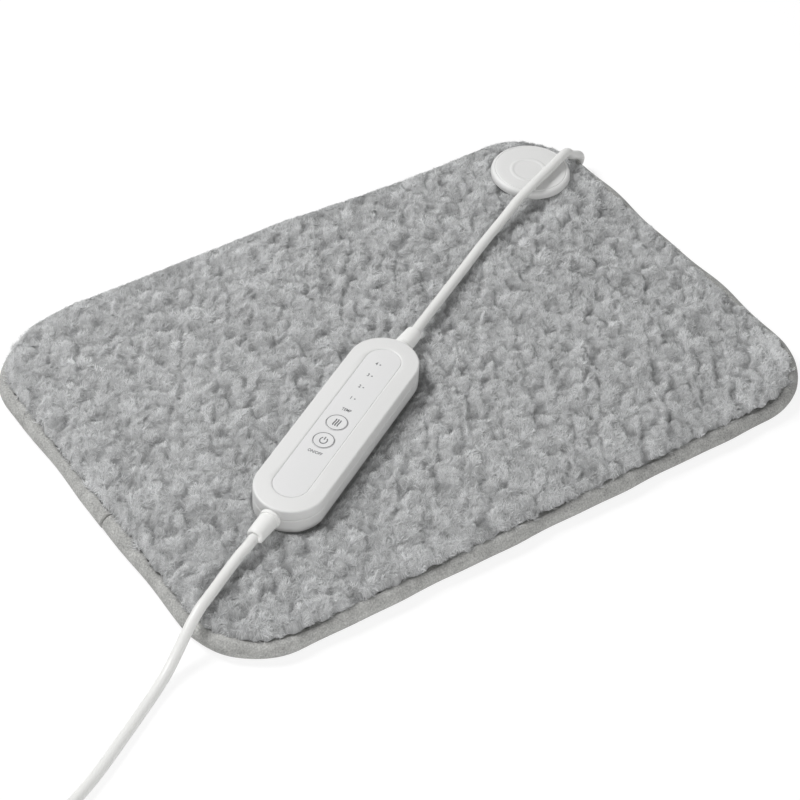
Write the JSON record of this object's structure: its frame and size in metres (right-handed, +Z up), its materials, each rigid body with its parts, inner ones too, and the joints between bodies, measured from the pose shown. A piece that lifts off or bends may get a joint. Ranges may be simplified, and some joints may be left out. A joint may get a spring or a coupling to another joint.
{
  "type": "heating pad with controller",
  "caption": "Plush rectangular electric heating pad with a rolled edge, a round cord coupling, an in-line controller with push buttons and level lights, and a mains lead with a plug.",
  "frame": {"origin": "middle of the pad's underside, on the surface that the pad lies on", "axes": "+X along the pad's long side towards the coupling, +Y along its short side towards the coupling, +Z up"},
  "size_m": [0.5884, 0.421, 0.0312],
  "materials": {
    "plush": "long soft pile",
    "velour": "short nap",
    "felt": "needled felt",
    "white_plastic": "fine satin",
    "gloss_plastic": "smooth",
    "clear_plastic": "clear",
    "cord_jacket": "smooth soft jacket",
    "element": "silicone insulation",
    "board": "laminate",
    "dark_part": "moulded",
    "brass": "bare",
    "steel": "plated"
  },
  "bodies": {
    "pad": {"backing_cover": "velour", "lower_felt": "felt", "upper_felt": "felt", "heating_wire": "element", "thermal_cutout_1": "dark_part", "thermal_cutout_2": "dark_part", "plush_cover": "plush", "edge_binding": "velour", "coupling_base": "white_plastic", "coupling_cap": "white_plastic", "coupling_screw_1": "steel", "coupling_screw_2": "steel", "coupling_terminal_1": "brass", "coupling_terminal_2": "brass", "lead_gland": "cord_jacket", "lower_shell": "white_plastic", "upper_shell": "white_plastic", "fascia": "gloss_plastic", "case_screw_1": "steel", "case_screw_2": "steel", "case_screw_3": "steel", "case_screw_4": "steel", "power_switch": "dark_part", "temperature_switch": "dark_part", "circuit_board": "board", "light_guide": "clear_plastic", "level_led_1": "clear_plastic", "level_led_2": "clear_plastic", "level_led_3": "clear_plastic", "level_led_4": "clear_plastic", "fuse": "clear_plastic", "capacitor": "dark_part", "triac": "dark_part", "lead_boot": "cord_jacket", "mains_boot": "cord_jacket", "lead_terminal_1": "brass", "lead_terminal_2": "brass", "mains_terminal_1": "brass", "mains_terminal_2": "brass", "lead_conductor_1": "element", "lead_conductor_2": "element", "mains_conductor_1": "element", "mains_conductor_2": "element", "lead_cord": "cord_jacket", "mains_cord": "cord_jacket", "mains_coil": "cord_jacket", "coil_tie": "dark_part", "plug_body": "white_plastic", "plug_pin_1": "steel", "plug_pin_2": "steel"},
    "power_key": {"power_button": "gloss_plastic", "power_plunger": "dark_part"},
    "temperature_key": {"temperature_button": "gloss_plastic", "temperature_plunger": "dark_part"}
  },
  "joints": [
    {"name": "power_press", "type": "slide", "parent": "pad", "child": "power_key", "axis": [0, 0, -1], "range_m": [0, 0.0008], "stiffness_N_per_m": 1500},
    {"name": "temperature_press", "type": "slide", "parent": "pad", "child": "temperature_key", "axis": [0, 0, -1], "range_m": [0, 0.0008], "stiffness_N_per_m": 1500}
  ]
}
